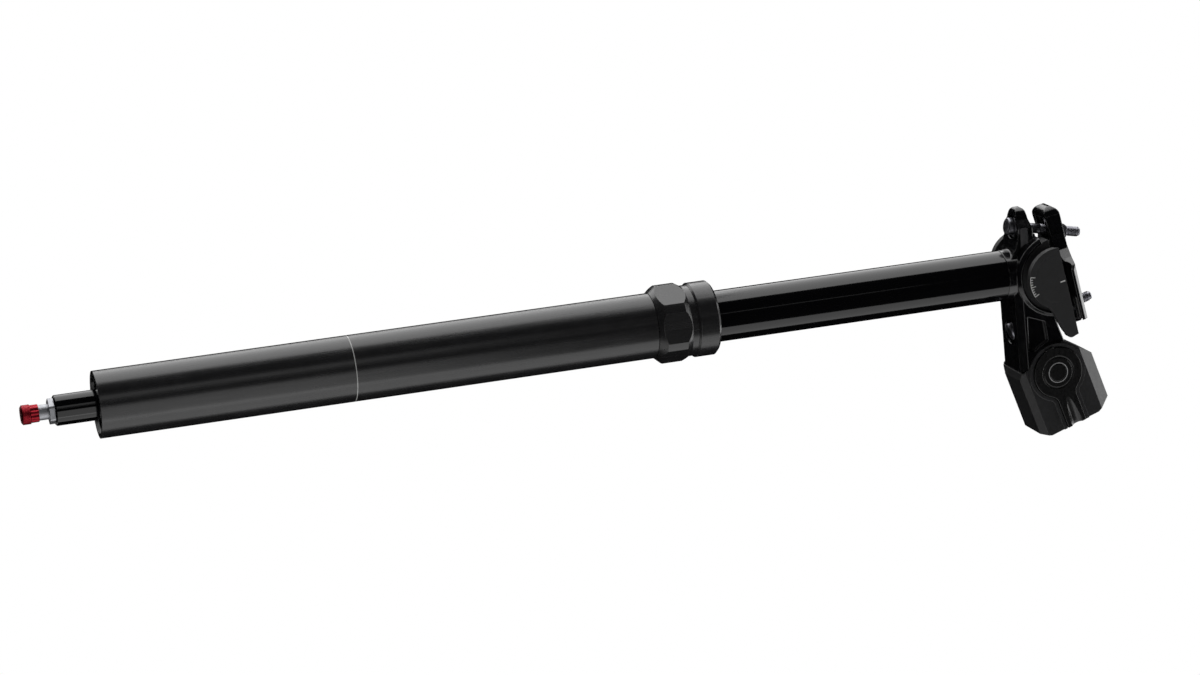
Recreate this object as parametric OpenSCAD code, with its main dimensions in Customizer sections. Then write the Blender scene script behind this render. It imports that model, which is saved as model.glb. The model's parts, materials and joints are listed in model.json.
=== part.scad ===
// Wireless dropper seatpost, 31.6 mm, 150 mm of travel, two-bolt saddle clamp.
// +Z runs up the post, +X is the riding direction, +Y is the rider's left.
// The origin is on the post's axis, at the bottom end of the lower tube.

/* [Lower tube] */
// Outer diameter, the size of the frame's seat tube bore
tube_d = 31.6; // [30.6:0.1:34.9]
// Wall of the lower tube
tube_wall = 2.2; // [1.8:0.1:2.4]
// Length of the lower tube below the collar
tube_len = 268; // [250:1:320]
// Depth of the grooves that guide the keys
groove_depth = 0.8; // [0.4:0.1:1.2]

/* [Sliding post] */
// Outer diameter of the stanchion
stanchion_d = 25; // [24.6:0.1:25.2]
// Wall of the stanchion
stanchion_wall = 1.6; // [1.2:0.1:2]
// Stroke from full height to full drop
travel = 150; // [100:1:160]
// Running clearance of bushes, seals and pivots, on the radius
run_gap = 0.04; // [0.02:0.01:0.08]
// Clearance of pieces that are fitted together, on the radius
fit_gap = 0.02; // [0.01:0.01:0.04]
// Clearance round soft pieces that move
soft_gap = 0.3; // [0.2:0.05:0.4]

/* [Collar] */
// Width across the flats of the hexagon
hex_flats = 34.9; // [34.6:0.1:36]
// Diameter that rounds the hexagon's corners
hex_round_d = 38; // [37.4:0.1:40]
// Height of the hexagon with its cone
hex_h = 16.5; // [14:0.5:20]
// Diameter of the neck between hexagon and ring
neck_d = 34.4; // [33.8:0.1:34.6]
// Height of the neck
neck_h = 3; // [2:0.5:5]
// Diameter of the smooth ring above the neck
ring_d = 36.2; // [35.6:0.1:38]
// Height of the ring
ring_h = 11.1; // [10.5:0.1:14]
// Turn of the hexagon about the post
hex_turn = -4.5; // [-30:0.5:30]

/* [Air valve] */
// Diameter of the black tube under the plug
valve_tube_d = 14.3; // [12:0.1:18]
// Length of the black tube below the lower tube
valve_tube_h = 19.4; // [16:0.1:26]
// Outer diameter of the valve stem
stem_d = 7.2; // [6.8:0.1:7.6]
// Length of stem and cap that stand out below the tube
stem_out = 14; // [13.5:0.1:16]
// Width across the flats of the valve nut
valve_nut_flats = 11; // [10:0.5:13]
// Diameter of the cap's knurled end
cap_d = 9.2; // [9:0.1:11]
// Diameter of the cap's fluted skirt
cap_skirt_d = 8.4; // [8.2:0.1:8.8]
// Length of the cap
cap_len = 8.2; // [7.5:0.1:9]

/* [Hydraulics] */
// Diameter of the piston rod
rod_d = 8; // [7:0.5:9]
// Inner diameter of the oil tube
oil_tube_d = 16; // [15:0.5:16.5]
// Wall of the oil tube
oil_tube_wall = 0.8; // [0.6:0.1:1]
// Height of the bottom plug inside the tube
plug_h = 14; // [12:0.5:18]
// Height of the bottom bumper
bumper_h = 8; // [5:0.5:10]

/* [Head] */
// Height of the head's datum above the stanchion's top end
head_rise = 21.9; // [21.5:0.1:25]
// Radius of the cradle's seat
seat_r = 18.6; // [18.2:0.1:18.8]
// Outer radius of the cradle
cradle_r = 20.9; // [20.7:0.1:21.4]
// Width of the cradle
cradle_w = 28.8; // [28:0.2:29.6]
// Width of the front ear
ear_w = 17; // [15:0.5:20]
// Reach of the front ear ahead of the post's axis
ear_reach = 33.6; // [32:0.1:35]
// Width of the rear arm
arm_w = 25.3; // [24:0.1:26]
// Length of the rear arm behind the post's axis
arm_reach = 48.4; // [47:0.1:50]

/* [Saddle clamp] */
// Diameter of the saddle rails
rail_d = 7; // [6.5:0.1:7.4]
// Distance between the saddle rails
rail_gap = 44; // [43:0.5:44.5]
// Nose-down tilt of the rails at rest
clamp_tilt = 11; // [5:0.5:15]
// Overall width of the lower clamp
clamp_w = 50.4; // [50:0.1:52]
// Diameter of the clamp bolts
bolt_d = 5; // [4.5:0.1:5.2]
// Length of the front bolt with its head
front_bolt_len = 39.4; // [38.4:0.2:44]
// Length of the rear bolt with its head
rear_bolt_len = 46.1; // [45.1:0.2:48]

/* [Electronics housing] */
// Lean of the housing, rear end up
housing_tilt = 18.5; // [15:0.5:22]
// How much wider the housing is than the arm
housing_w = 1.7; // [1.4:0.1:3]
// Wall of the housing
housing_wall = 2.2; // [1.8:0.1:2.6]
// Radius of the rubber cover's disc
cover_r = 12.7; // [12:0.1:13]
// Width of the rubber cover's tail
cover_tail_w = 10; // [8:0.5:11]
// Radius of the round button in the cover
button_r = 4.4; // [4:0.1:5]

/* [Hidden] */
$fn = 96;
big = 120;

// Heights up the post
tube_r = tube_d / 2;
tube_ri = tube_r - tube_wall;
stub_r = tube_r - 0.8;
stub_h = 16;
hex_z = tube_len;
neck_z = hex_z + hex_h;
ring_z = neck_z + neck_h;
collar_top = ring_z + ring_h;
top_clear = 1;
post_top = collar_top + travel + top_clear;
stanchion_r = stanchion_d / 2;
stanchion_ri = stanchion_r - stanchion_wall;
plug_in = 0.8;
bottom_clear = 0.6;
post_bottom = plug_h + bumper_h + travel + bottom_clear;

// Sliding bushes and keys
bush_r = tube_ri - run_gap;
bush_h = 20;
bush_z = post_bottom + 2.4;
key_z = bush_z + bush_h + 3;
key_h = 16;
key_w = 2.36;
key_in = 0.8;
key_count = 3;
groove_w = key_w + 2 * 0.07;
top_bumper_z = key_z + key_h + bottom_clear;
top_bumper_h = 5;
upper_bush_h = 21;
upper_bush_z = hex_z + stub_h - 1 - upper_bush_h;
spacer_z = top_bumper_z + top_bumper_h;

// Collar details
cone_h = 3.5;
hex_chamfer_h = 3;
flange_z = hex_z + stub_h + 0.2;
flange_h = 1.8;
flange_r = stanchion_r + 0.3;
spigot_r = neck_d / 2 - 1.6;
spigot_h = 5.5;
seal_pocket_r = stanchion_r + 2.1;
lip_h = 1;

// Air valve
stem_r = stem_d / 2;
stem_bore_r = 2.3;
stem_end = -valve_tube_h - stem_out;
cap_floor = 1;
cap_end = stem_end - 0.4 - cap_floor;
stem_in = 11.4;
stem_top = -valve_tube_h + stem_in;
pin_r = 0.6;
air_r = 2;

// Hydraulics
rod_r = rod_d / 2;
oil_r = oil_tube_d / 2;
oil_ro = oil_r + oil_tube_wall;
seal_head_h = 16;
seal_head_z = post_bottom;
piston_h = 10;
piston_z = seal_head_z + seal_head_h + 2;
rod_end = 2.4;
rod_top = piston_z + piston_h + rod_end;
oil_tube_z = seal_head_z + seal_head_h;
oil_tube_top = rod_top + travel + 16;
valve_body_h = 20;
float_h = 10;
float_z = oil_tube_z + travel * 0.75;
needle_r = 3;
needle_low = 6;
needle_high = 3;
needle_top = oil_tube_top + valve_body_h + needle_high;
thread_depth = 12;
screw_grip = 9;
screw_r = 1.5;
motor_r = 8;
motor_h = 18;
motor_flange_h = 2;
motor_clear = 5;
spigot_in = 13.6;
motor_z = post_top - spigot_in - motor_clear - motor_h - motor_flange_h;

// Head: the cradle is centred on the axis the clamp tilts about
head_z = post_top + head_rise;
pivot_x = -0.2;
pivot_z = head_z + 2.85;
cradle_chamfer = 1.8;
cut_front = [17.1, head_z - 4.9];
cut_rear = [-18.8, head_z - 0.6];
arm_low = head_z - 18.6;
arm_low_rear = arm_low + 1.3;
arm_slope = atan2(arm_low_rear - arm_low, arm_reach - 8);
arm_top_front = [-20.8, head_z + 1];
arm_top_rear = [-33.9, head_z + 5.6];
arm_end_top = head_z - 4.6;
ear_low = head_z - 15;
ear_high = head_z - 7;
ear_tip_r = 2.6;
ear_tip_z = ear_low + 3.8;
ear_flank = 12.6;
wire_r = 1.8;
wire_y = 7.6;

// Saddle clamp, in its own frame: u along the rails, w square to them
rail_r = rail_d / 2;
rail_w = 4.1;
frame_u = 1.72;
frame_w = -2.57;
clamp_top = 2.25;
yoke_low = 5.9;
clamp_seat_r = seat_r - 0.05;
bridge_r = 14;
disc_r = 15.2;
disc_u = 0.1;
disc_w = -1.35;
disc_plate = 3.4;
tail_end = -31;
tail_r = 2.6;
yoke_top = 13.2;
yoke_wing_y = 25.2;
yoke_nose = 30.4;
nose_r = 4;
yoke_arm_half = 8.2;
nut_r = 4.2;
nut_half = 5;
front_nut_u = 16.05;
front_nut_w = 12.4;
rear_nut_u = -22.8;
rear_nut_w = 12.1;

// Clamp bolts: a point on each axis, the lean from the vertical and the tip's distance above it
bolt_r = bolt_d / 2;
bolt_way = bolt_r + 0.7;
bolt_lean_way = 6.6;
bolt_head_r = 4.25;
bolt_head_h = 4.4;
washer_r = 5;
washer_h = 1.2;
seat_clear = 0.35;
front_lean = -11.73;
rear_lean = 16.5;
front_nut_x = world_x(front_nut_u, front_nut_w);
front_nut_z = world_z(front_nut_u, front_nut_w);
rear_nut_x = world_x(rear_nut_u, rear_nut_w);
rear_nut_z = world_z(rear_nut_u, rear_nut_w);
front_tip = 12.4;
rear_tip = 10.2;
front_seat = front_bolt_len - front_tip - bolt_head_h - washer_h - seat_clear;
rear_seat = rear_bolt_len - rear_tip - bolt_head_h - washer_h - seat_clear;
swing = 1;

// Electronics housing, in its own frame: p along it and forward, q square to it
housing_x = -arm_reach - 1;
housing_z = head_z + 0.6;
housing_y = (arm_w + housing_w) / 2;
housing_end = -29.2;
housing_low = -18.4;
housing_high = 21.5;
rim_w = 2.1;
cheek_r = cover_r + rim_w;
rim_y = housing_y + 0.8;
lid_y = -housing_y + 4;
gasket_h = 0.6;
seam_gap = 0.1;
recess_y = arm_w / 2 + seam_gap;
cover_y = recess_y + soft_gap;
cover_out = housing_y + 1.5;
hinge_r = 0.6;
hinge_half = 2.2;
hinge_p = cover_r + 0.3;
hinge_y = cover_out - hinge_r;
step_r = 7.5;
step_w = 0.8;
step_h = 0.4;
thumb_r = 3.2;
thumb_lean = 7;
fillet_r = 5;
port_p = -8.6;
switch_r = 2.2;
board_y = 6;
lid_screw_at = [[-24, -13], [-24, 13.5], [-2, 16], [-6, -14]];
tongue_half = 4;
tongue_len = 8;
screw_y = 6.4;
screw_z = head_z - 12;

function world_x(u, w) = pivot_x + (u + frame_u) * cos(clamp_tilt) + (w + frame_w) * sin(clamp_tilt);
function world_z(u, w) = pivot_z - (u + frame_u) * sin(clamp_tilt) + (w + frame_w) * cos(clamp_tilt);

module plate(y0, y1) {
    translate([0, y1, 0]) rotate([90, 0, 0]) linear_extrude(y1 - y0) children();
}

module along_x(x0, x1) {
    translate([x0, 0, 0]) rotate([90, 0, 90]) linear_extrude(x1 - x0) children();
}

module pipe(r_out, r_in, z0, z1) {
    difference() {
        translate([0, 0, z0]) cylinder(r = r_out, h = z1 - z0);
        translate([0, 0, z0 - 1]) cylinder(r = r_in, h = z1 - z0 + 2);
    }
}

module cross_rod(r, x, z, y0, y1) {
    translate([x, y1, z]) rotate([90, 0, 0]) cylinder(r = r, h = y1 - y0);
}

module clamp_frame() {
    translate([pivot_x, 0, pivot_z]) rotate([0, clamp_tilt, 0])
        translate([frame_u, 0, frame_w]) children();
}

module housing_frame() {
    translate([housing_x, 0, housing_z]) rotate([0, housing_tilt, 0]) children();
}

module front_bolt_frame() {
    translate([front_nut_x, 0, front_nut_z]) rotate([0, front_lean, 0]) children();
}

module rear_bolt_frame() {
    translate([rear_nut_x, 0, rear_nut_z]) rotate([0, rear_lean, 0]) children();
}

module lower_tube() {
    edge = 0.3;
    color("#1c1c1d") difference() {
        rotate_extrude() polygon([[tube_ri, 0], [tube_r, 0], [tube_r, tube_len - 0.3],
            [tube_r - 0.3, tube_len], [stub_r, tube_len],
            [stub_r, tube_len + stub_h], [tube_ri, tube_len + stub_h]]);
        for (i = [0 : key_count - 1])
            rotate([0, 0, i * 360 / key_count])
                translate([tube_ri - 1, -groove_w / 2, plug_h + bumper_h])
                    cube([groove_depth + 1, groove_w, spacer_z - plug_h - bumper_h + 10]);
    }
}

module bottom_plug() {
    pin_hole_r = 1.5;
    port_r = 1;
    port_at = 7.5;
    color("#161616") difference() {
        rotate_extrude() polygon([[0, -valve_tube_h], [valve_tube_d / 2 - 0.6, -valve_tube_h],
            [valve_tube_d / 2, -valve_tube_h + 0.6], [valve_tube_d / 2, plug_in],
            [tube_ri - fit_gap, plug_in], [tube_ri - fit_gap, plug_h], [0, plug_h]]);
        translate([0, 0, -valve_tube_h - 1]) cylinder(r = stem_r + fit_gap, h = stem_in + 3);
        translate([0, 0, -valve_tube_h]) cylinder(r = air_r, h = valve_tube_h + 3);
        translate([0, 0, plug_h - 8]) cylinder(r = rod_r + fit_gap, h = 9);
        translate([-port_at, 0, 2.4]) rotate([0, 90, 0]) cylinder(r = port_r, h = 2 * port_at);
        for (x = [-port_at, port_at])
            translate([x, 0, 2.4]) cylinder(r = port_r, h = plug_h);
        for (y = [-1, 1])
            translate([0, y * (tube_ri - 3.2), -1]) cylinder(r = pin_hole_r, h = 4);
    }
}

module valve_stem() {
    color("#b9bbbd") rotate_extrude() polygon([[stem_bore_r, stem_end], [stem_r - 0.4, stem_end],
        [stem_r, stem_end + 0.4], [stem_r, stem_top], [stem_bore_r, stem_top]]);
}

module valve_nut() {
    nut_h = 2.6;
    color("#a9abad") difference() {
        translate([0, 0, -valve_tube_h - nut_h]) intersection() {
            cylinder(r = valve_nut_flats / 2 / cos(30), h = nut_h, $fn = 6);
            cylinder(r = valve_nut_flats / 2 + 0.6, h = nut_h);
        }
        translate([0, 0, -valve_tube_h - nut_h - 1]) cylinder(r = stem_r + fit_gap, h = nut_h + 2);
    }
}

module valve_core() {
    core_low = stem_end + 1.4;
    core_h = 20;
    color("#b08d3c") difference() {
        translate([0, 0, core_low]) cylinder(r = stem_bore_r - fit_gap, h = core_h);
        translate([0, 0, core_low - 1]) cylinder(r = pin_r + run_gap, h = core_h + 2);
    }
}

module valve_pin() {
    core_top = stem_end + 21.4;
    color("#c9a24a") union() {
        translate([0, 0, stem_end + 0.2]) cylinder(r = pin_r, h = core_top - stem_end);
        translate([0, 0, core_top + 0.1]) cylinder(r = 1.5, h = 1.2);
    }
}

module valve_cap() {
    skirt_h = 3.7;
    ribs = 18;
    color("#b3121a") difference() {
        rotate_extrude() polygon([[0, cap_end], [cap_d / 2 - 0.9, cap_end],
            [cap_d / 2, cap_end + 0.7], [cap_d / 2, cap_end + cap_len - skirt_h],
            [cap_skirt_d / 2, cap_end + cap_len - skirt_h], [cap_skirt_d / 2, cap_end + cap_len],
            [stem_r + 0.05, cap_end + cap_len], [stem_r + 0.05, cap_end + cap_floor],
            [0, cap_end + cap_floor]]);
        for (i = [0 : ribs - 1])
            rotate([0, 0, i * 360 / ribs])
                translate([cap_d / 2 + 0.18, 0, cap_end - 1])
                    cylinder(r = 0.5, h = cap_len - skirt_h + 0.6, $fn = 16);
    }
}

module bottom_bumper() {
    color("#202020") pipe(tube_ri - 0.3, 9, plug_h, plug_h + bumper_h);
}

module piston_rod() {
    color("#c4c6c8") difference() {
        translate([0, 0, plug_h - 7.8]) cylinder(r = rod_r, h = rod_top - plug_h + 7.8);
        translate([0, 0, plug_h - 9]) cylinder(r = air_r, h = rod_top - plug_h);
    }
}

module main_piston() {
    groove = 3;
    color("#8f9193") difference() {
        pipe(oil_r - run_gap, rod_r + fit_gap, piston_z, piston_z + piston_h);
        pipe(oil_r + 1, oil_r - 1.2, piston_z + groove, piston_z + piston_h - groove);
    }
}

module piston_ring() {
    groove = 3;
    color("#5b4a2e") pipe(oil_r - run_gap / 2, oil_r - 1.2 + fit_gap, piston_z + groove + 0.1,
        piston_z + piston_h - groove - 0.1);
}

module bush_spacer() {
    color("#2a2a2a") pipe(tube_ri - fit_gap, stanchion_r + 0.3, spacer_z, upper_bush_z);
}

module top_out_bumper() {
    color("#202020") pipe(tube_ri - fit_gap, stanchion_r + 0.3, top_bumper_z, spacer_z);
}

module upper_bush() {
    slit = 1;
    color("#6d6a58") difference() {
        pipe(tube_ri - fit_gap, stanchion_r + run_gap, upper_bush_z, upper_bush_z + upper_bush_h);
        translate([0, -slit / 2, upper_bush_z - 1]) cube([tube_r, slit, upper_bush_h + 2]);
    }
}

module hex_collar() {
    hex_top = neck_z;
    spigot_top = ring_z + spigot_h;
    color("#1b1b1c") difference() {
        union() {
            intersection() {
                rotate_extrude() polygon([[0, hex_z], [tube_r + 0.05, hex_z],
                    [hex_round_d / 2 - 0.1, hex_z + cone_h], [hex_round_d / 2, hex_z + cone_h + 0.2],
                    [hex_round_d / 2, hex_top - hex_chamfer_h], [neck_d / 2, hex_top],
                    [neck_d / 2, ring_z], [0, ring_z]]);
                translate([0, 0, hex_z - 1]) rotate([0, 0, hex_turn])
                    cylinder(r = hex_flats / 2 / cos(30), h = hex_h + neck_h + 2, $fn = 6);
            }
            translate([0, 0, ring_z - 1]) cylinder(r = spigot_r, h = spigot_h + 1);
        }
        translate([0, 0, hex_z - 1]) cylinder(r = stub_r + fit_gap, h = flange_z - hex_z + 1);
        translate([0, 0, hex_z]) cylinder(r = flange_r, h = big);
        translate([0, 0, flange_z + flange_h]) cylinder(r = seal_pocket_r, h = big);
    }
}

module air_seal() {
    color("#262626") pipe(seal_pocket_r - fit_gap, stanchion_r + run_gap, flange_z + flange_h,
        ring_z + spigot_h - 0.5);
}

module collar_ring() {
    step = 0.9;
    edge = 1.2;
    wiper_z = ring_z + spigot_h + 0.1;
    color("#19191a") difference() {
        rotate_extrude() polygon([[spigot_r - 1, ring_z], [neck_d / 2, ring_z],
            [ring_d / 2, ring_z + step], [ring_d / 2, collar_top - edge],
            [ring_d / 2 - edge, collar_top], [spigot_r - 1, collar_top]]);
        translate([0, 0, ring_z - 1]) cylinder(r = spigot_r + fit_gap, h = wiper_z - ring_z + 1);
        translate([0, 0, ring_z]) cylinder(r = spigot_r + fit_gap, h = ring_h - lip_h);
    }
}

module wiper_seal() {
    wiper_z = ring_z + spigot_h + 0.1;
    top = collar_top - lip_h;
    color("#101010") rotate_extrude() polygon([[stanchion_r + 1.2, wiper_z],
        [spigot_r - fit_gap, wiper_z], [spigot_r - fit_gap, top], [spigot_r - 1.1, top],
        [stanchion_r + 0.9, collar_top + 0.5], [stanchion_r + run_gap, collar_top + 0.2],
        [stanchion_r + run_gap, collar_top - 0.8]]);
}

module stanchion() {
    color("#0c0c0d") difference() {
        rotate_extrude() polygon([[stanchion_ri, post_bottom], [stanchion_r - 0.5, post_bottom],
            [stanchion_r, post_bottom + 0.5], [stanchion_r, post_top], [stanchion_ri, post_top]]);
        for (i = [0 : key_count - 1])
            rotate([0, 0, i * 360 / key_count])
                translate([stanchion_r - key_in, -key_w / 2 - fit_gap, key_z])
                    cube([key_in + 1, key_w + 2 * fit_gap, key_h]);
    }
}

module lower_bush() {
    slit = 1;
    color("#6d6a58") difference() {
        pipe(bush_r, stanchion_r + fit_gap, bush_z, bush_z + bush_h);
        translate([0, -slit / 2, bush_z - 1]) cube([tube_r, slit, bush_h + 2]);
    }
}

module keys() {
    key_out = tube_ri + groove_depth - 0.2;
    color("#b5923f") for (i = [0 : key_count - 1])
        rotate([0, 0, i * 360 / key_count])
            translate([stanchion_r - key_in + fit_gap, -key_w / 2, key_z + fit_gap])
                cube([key_out - stanchion_r + key_in - fit_gap, key_w, key_h - 2 * fit_gap]);
}

module seal_head() {
    color("#77797b") difference() {
        pipe(stanchion_ri - fit_gap, rod_r + run_gap, seal_head_z, seal_head_z + seal_head_h);
        pipe(rod_r + 2, rod_r - 1, seal_head_z + 4, seal_head_z + 7);
    }
}

module rod_seal() {
    color("#1e1e1e") pipe(rod_r + 2 - fit_gap, rod_r + run_gap, seal_head_z + 4.1, seal_head_z + 6.9);
}

module inner_tube() {
    color("#a7a9ab") pipe(oil_ro, oil_r, oil_tube_z, oil_tube_top);
}

module floating_piston() {
    groove = 3.5;
    color("#8a8c8e") difference() {
        pipe(stanchion_ri - run_gap, oil_ro + run_gap, float_z, float_z + float_h);
        pipe(stanchion_r, stanchion_ri - 0.6, float_z + groove, float_z + float_h - groove);
    }
}

module floating_seals() {
    groove = 3.5;
    color("#1e1e1e") pipe(stanchion_ri - run_gap / 2, stanchion_ri - 0.6 + fit_gap,
        float_z + groove + 0.1, float_z + float_h - groove - 0.1);
}

module valve_body() {
    port_r = 1.5;
    color("#7f8183") difference() {
        union() {
            translate([0, 0, oil_tube_top]) cylinder(r = stanchion_ri - fit_gap, h = valve_body_h);
            translate([0, 0, oil_tube_top - 4]) cylinder(r = oil_r - fit_gap, h = 5);
        }
        translate([0, 0, oil_tube_top - 5]) cylinder(r = needle_r + run_gap, h = valve_body_h + 6);
        for (a = [0 : 90 : 270])
            rotate([0, 0, a]) translate([5.6, 0, oil_tube_top - 5]) cylinder(r = port_r, h = 9);
        for (a = [0, 90])
            rotate([0, 0, a]) translate([-stanchion_ri + 1.2, 0, oil_tube_top + 2.4])
                rotate([0, 90, 0]) cylinder(r = 1.2, h = 2 * stanchion_ri - 2.4);
    }
}

module needle() {
    low = oil_tube_top - 4 - needle_low;
    color("#c7c9cb") difference() {
        translate([0, 0, low]) cylinder(r = needle_r, h = needle_top - low);
        translate([0, 0, needle_top - thread_depth]) cylinder(r = screw_r + run_gap, h = thread_depth + 1);
    }
}

module drive_screw() {
    low = needle_top - screw_grip;
    color("#d0b060") translate([0, 0, low]) cylinder(r = screw_r, h = motor_z - low - 0.1);
}

module motor() {
    color("#9fa1a3") union() {
        translate([0, 0, motor_z]) cylinder(r = stanchion_ri - fit_gap, h = motor_flange_h + 0.4);
        translate([0, 0, motor_z + motor_flange_h]) cylinder(r = motor_r, h = motor_h);
    }
}

module cradle_blank() {
    half = cradle_w / 2;
    translate([pivot_x, 0, pivot_z]) rotate([90, 0, 0]) rotate_extrude() polygon([
        [0, -half], [cradle_r - 1.5, -half], [cradle_r, -half + cradle_chamfer],
        [cradle_r, half - cradle_chamfer], [cradle_r - 1.5, half], [0, half]]);
}

module ear_side() {
    tip_x = ear_reach - ear_tip_r;
    flank_x = tip_x + ear_tip_r * sin(ear_flank);
    flank_z = ear_tip_r * cos(ear_flank);
    union() {
        polygon([[8, ear_low - 4.6], [11, ear_low - 3.2], [14, ear_low - 1.5], [19, ear_low],
            [tip_x - 5, ear_low], [flank_x, ear_tip_z - flank_z], [flank_x, ear_tip_z + flank_z],
            [24, ear_high], [8, ear_high]]);
        translate([tip_x, ear_tip_z]) circle(r = ear_tip_r);
    }
}

module ear_blank() {
    half = ear_w / 2;
    tip_r = 5;
    difference() {
        intersection() {
            plate(-half, half) ear_side();
            translate([0, 0, ear_low - 10]) linear_extrude(40) union() {
                translate([0, -half]) square([22, ear_w]);
                polygon([[21, -half], [24, -half], [28.6, -4.6], [28.6, 4.6], [24, half],
                    [21, half]]);
                translate([ear_reach - tip_r, 0]) circle(r = tip_r);
            }
        }
        for (y = [-half, half])
            plate(y - 2.6, y + 2.6) polygon([[10, ear_low - 0.2], [24, ear_low + 1],
                [24.6, ear_low + 5.2], [12, ear_low + 5.2]]);
    }
}

module arm_side(gap) {
    polygon([[-4, arm_low - gap], [-arm_reach - gap, arm_low_rear - gap],
        [-arm_reach - gap, arm_end_top + gap], [arm_top_rear[0] - gap, arm_top_rear[1] + gap],
        [arm_top_front[0], arm_top_front[1] + gap], [-4, head_z - 6]]);
}

module arm_blank() {
    half = arm_w / 2;
    difference() {
        plate(-half, half) arm_side(0);
        for (y = [-1, 1]) {
            translate([-4, 0, arm_low]) rotate([0, arm_slope, 0])
                along_x(-arm_reach, 10)
                    polygon([[y * (half - 3), 0], [y * (half + 1), 4], [y * (half + 1), -2],
                        [y * (half - 3), -2]]);
            translate([arm_top_front[0], 0, arm_top_front[1] - 0.6]) rotate([0, 19.4, 0])
                along_x(-30, 20)
                    polygon([[y * half, 0], [y * (half - 3.4), 4.1], [y * (half - 3.4), 10],
                        [y * (half + 2), 10], [y * (half + 2), 0]]);
        }
        arm_pockets();
    }
}

module arm_pockets() {
    half = arm_w / 2;
    depth = 2;
    for (y = [-half, half])
        plate(y - depth, y + depth)
            polygon([[-19.7, head_z - 13.4], [-23.1, head_z - 4.4], [-32.9, head_z - 3.1],
                [-37.6, head_z - 10.6], [-37.2, head_z - 13.4]]);
}

module bolt_slot(seat, reach) {
    for (s = [-swing, swing])
        translate([s, 0, -reach]) cylinder(r = bolt_r + 0.5, h = reach - 6);
    translate([-swing, -bolt_r - 0.5, -reach]) cube([2 * swing, 2 * bolt_r + 1, reach - 6]);
    translate([0, 0, -reach]) cylinder(r = washer_r + 0.8, h = reach - seat);
}

module head() {
    datum = cradle_w / 2 + 1;
    color("#0b0b0c") difference() {
        union() {
            difference() {
                union() {
                    cradle_blank();
                    translate([0, 0, post_top]) cylinder(r = stanchion_r + 0.2, h = head_rise - 6);
                    translate([0, 0, post_top - spigot_in])
                        cylinder(r = stanchion_ri - fit_gap, h = spigot_in + 4);
                }
                plate(-datum, datum) polygon([cut_front, cut_rear, arm_top_front,
                    [arm_top_front[0], pivot_z + 40], [60, pivot_z + 40],
                    [60, cut_front[1] - (60 - cut_front[0]) * 0.12]]);
            }
            ear_blank();
            arm_blank();
            translate([-arm_reach - tongue_len, -tongue_half, head_z - 15])
                cube([tongue_len + 4, 2 * tongue_half, 6]);
        }
        cross_rod(seat_r, pivot_x, pivot_z, -cradle_w, cradle_w);
        translate([0, 0, post_top - spigot_in - 1]) cylinder(r = 7, h = spigot_in + 5);
        translate([0, wire_y, post_top + 3]) rotate([0, -75, 0]) cylinder(r = wire_r, h = 60);
        front_bolt_frame() bolt_slot(front_seat, 42);
        rear_bolt_frame() bolt_slot(rear_seat, 48);
        for (y = [-screw_y, screw_y])
            translate([-arm_reach - 1, y, screw_z]) rotate([0, 90, 0])
                cylinder(r = 1.2 + fit_gap, h = 10);
    }
}

module lower_clamp() {
    half = clamp_w / 2;
    inner = cradle_w / 2 - 1;
    color("#17181a") difference() {
        union() {
            cross_rod(clamp_seat_r, pivot_x, pivot_z, -inner, inner);
            cross_rod(bridge_r, pivot_x, pivot_z, -half + 1, half - 1);
            clamp_frame() for (y = [-half, half - disc_plate])
                plate(y, y + disc_plate) union() {
                    translate([disc_u, disc_w]) circle(r = disc_r);
                    translate([tail_end + tail_r, clamp_top - tail_r - 0.9]) circle(r = tail_r);
                    polygon([[-8, clamp_top], [-8.6, -13.6], [-12.8, -9.6], [-16.1, -7.7],
                        [-22, -6.2], [-26.6, -4.8], [tail_end + 1.8, -3.4],
                        [tail_end + 0.1, clamp_top - tail_r - 0.6], [tail_end + 0.7, clamp_top]]);
                }
        }
        clamp_frame() {
            translate([-60, -60, clamp_top]) cube([120, 120, 60]);
            for (y = [-rail_gap / 2, rail_gap / 2])
                translate([-60, y, rail_w]) rotate([0, 90, 0]) cylinder(r = rail_r, h = 120);
            translate([-11, -9, -9]) cube([18, 18, 12]);
            translate([15.5, -bolt_way, -2.5]) cube([4, 2 * bolt_way, 6]);
            translate([-22.5, -bolt_way, -4]) cube([3.2, 2 * bolt_way, 8]);
        }
    }
}

module yoke_section() {
    polygon([[-yoke_wing_y, yoke_low], [-yoke_wing_y, 7.3], [-yoke_wing_y + 2, 9.3], [-9, 12.6],
        [-8, yoke_top], [8, yoke_top], [9, 12.6], [yoke_wing_y - 2, 9.3], [yoke_wing_y, 7.3],
        [yoke_wing_y, yoke_low]]);
}

module yoke_plan() {
    polygon([[-24.4, -yoke_wing_y], [1.6, -yoke_wing_y], [3.6, -23.2], [6, -17], [9.4, -12],
        [14, -9], [17, -8.2], [17, 8.2], [14, 9], [9.4, 12], [6, 17], [3.6, 23.2],
        [1.6, yoke_wing_y], [-24.4, yoke_wing_y], [-25.4, 16], [-28, 8.2], [-28, -8.2],
        [-25.4, -16]]);
}

module yoke_arm() {
    round_x = yoke_nose - nose_r;
    union() {
        polygon([[-29, 6.4], [-20, 6], [8, 6], [11, 6.4], [20.3, 5.6], [round_x - 0.8, 5.2],
            [round_x - 0.8, yoke_top], [-28.4, yoke_top], [-30, 11.4], [-30, 7.4]]);
        translate([round_x - 0.2, yoke_top - nose_r]) circle(r = nose_r);
    }
}

module yoke_arm_plan() {
    tip_r = 6;
    tip_x = yoke_nose - tip_r;
    union() {
        translate([-31, -yoke_arm_half]) square([tip_x + 31, 2 * yoke_arm_half]);
        for (y = [tip_r - yoke_arm_half, yoke_arm_half - tip_r])
            translate([tip_x, y]) circle(r = tip_r);
        translate([tip_x, tip_r - yoke_arm_half]) square([tip_r, 2 * (yoke_arm_half - tip_r)]);
    }
}

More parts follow.
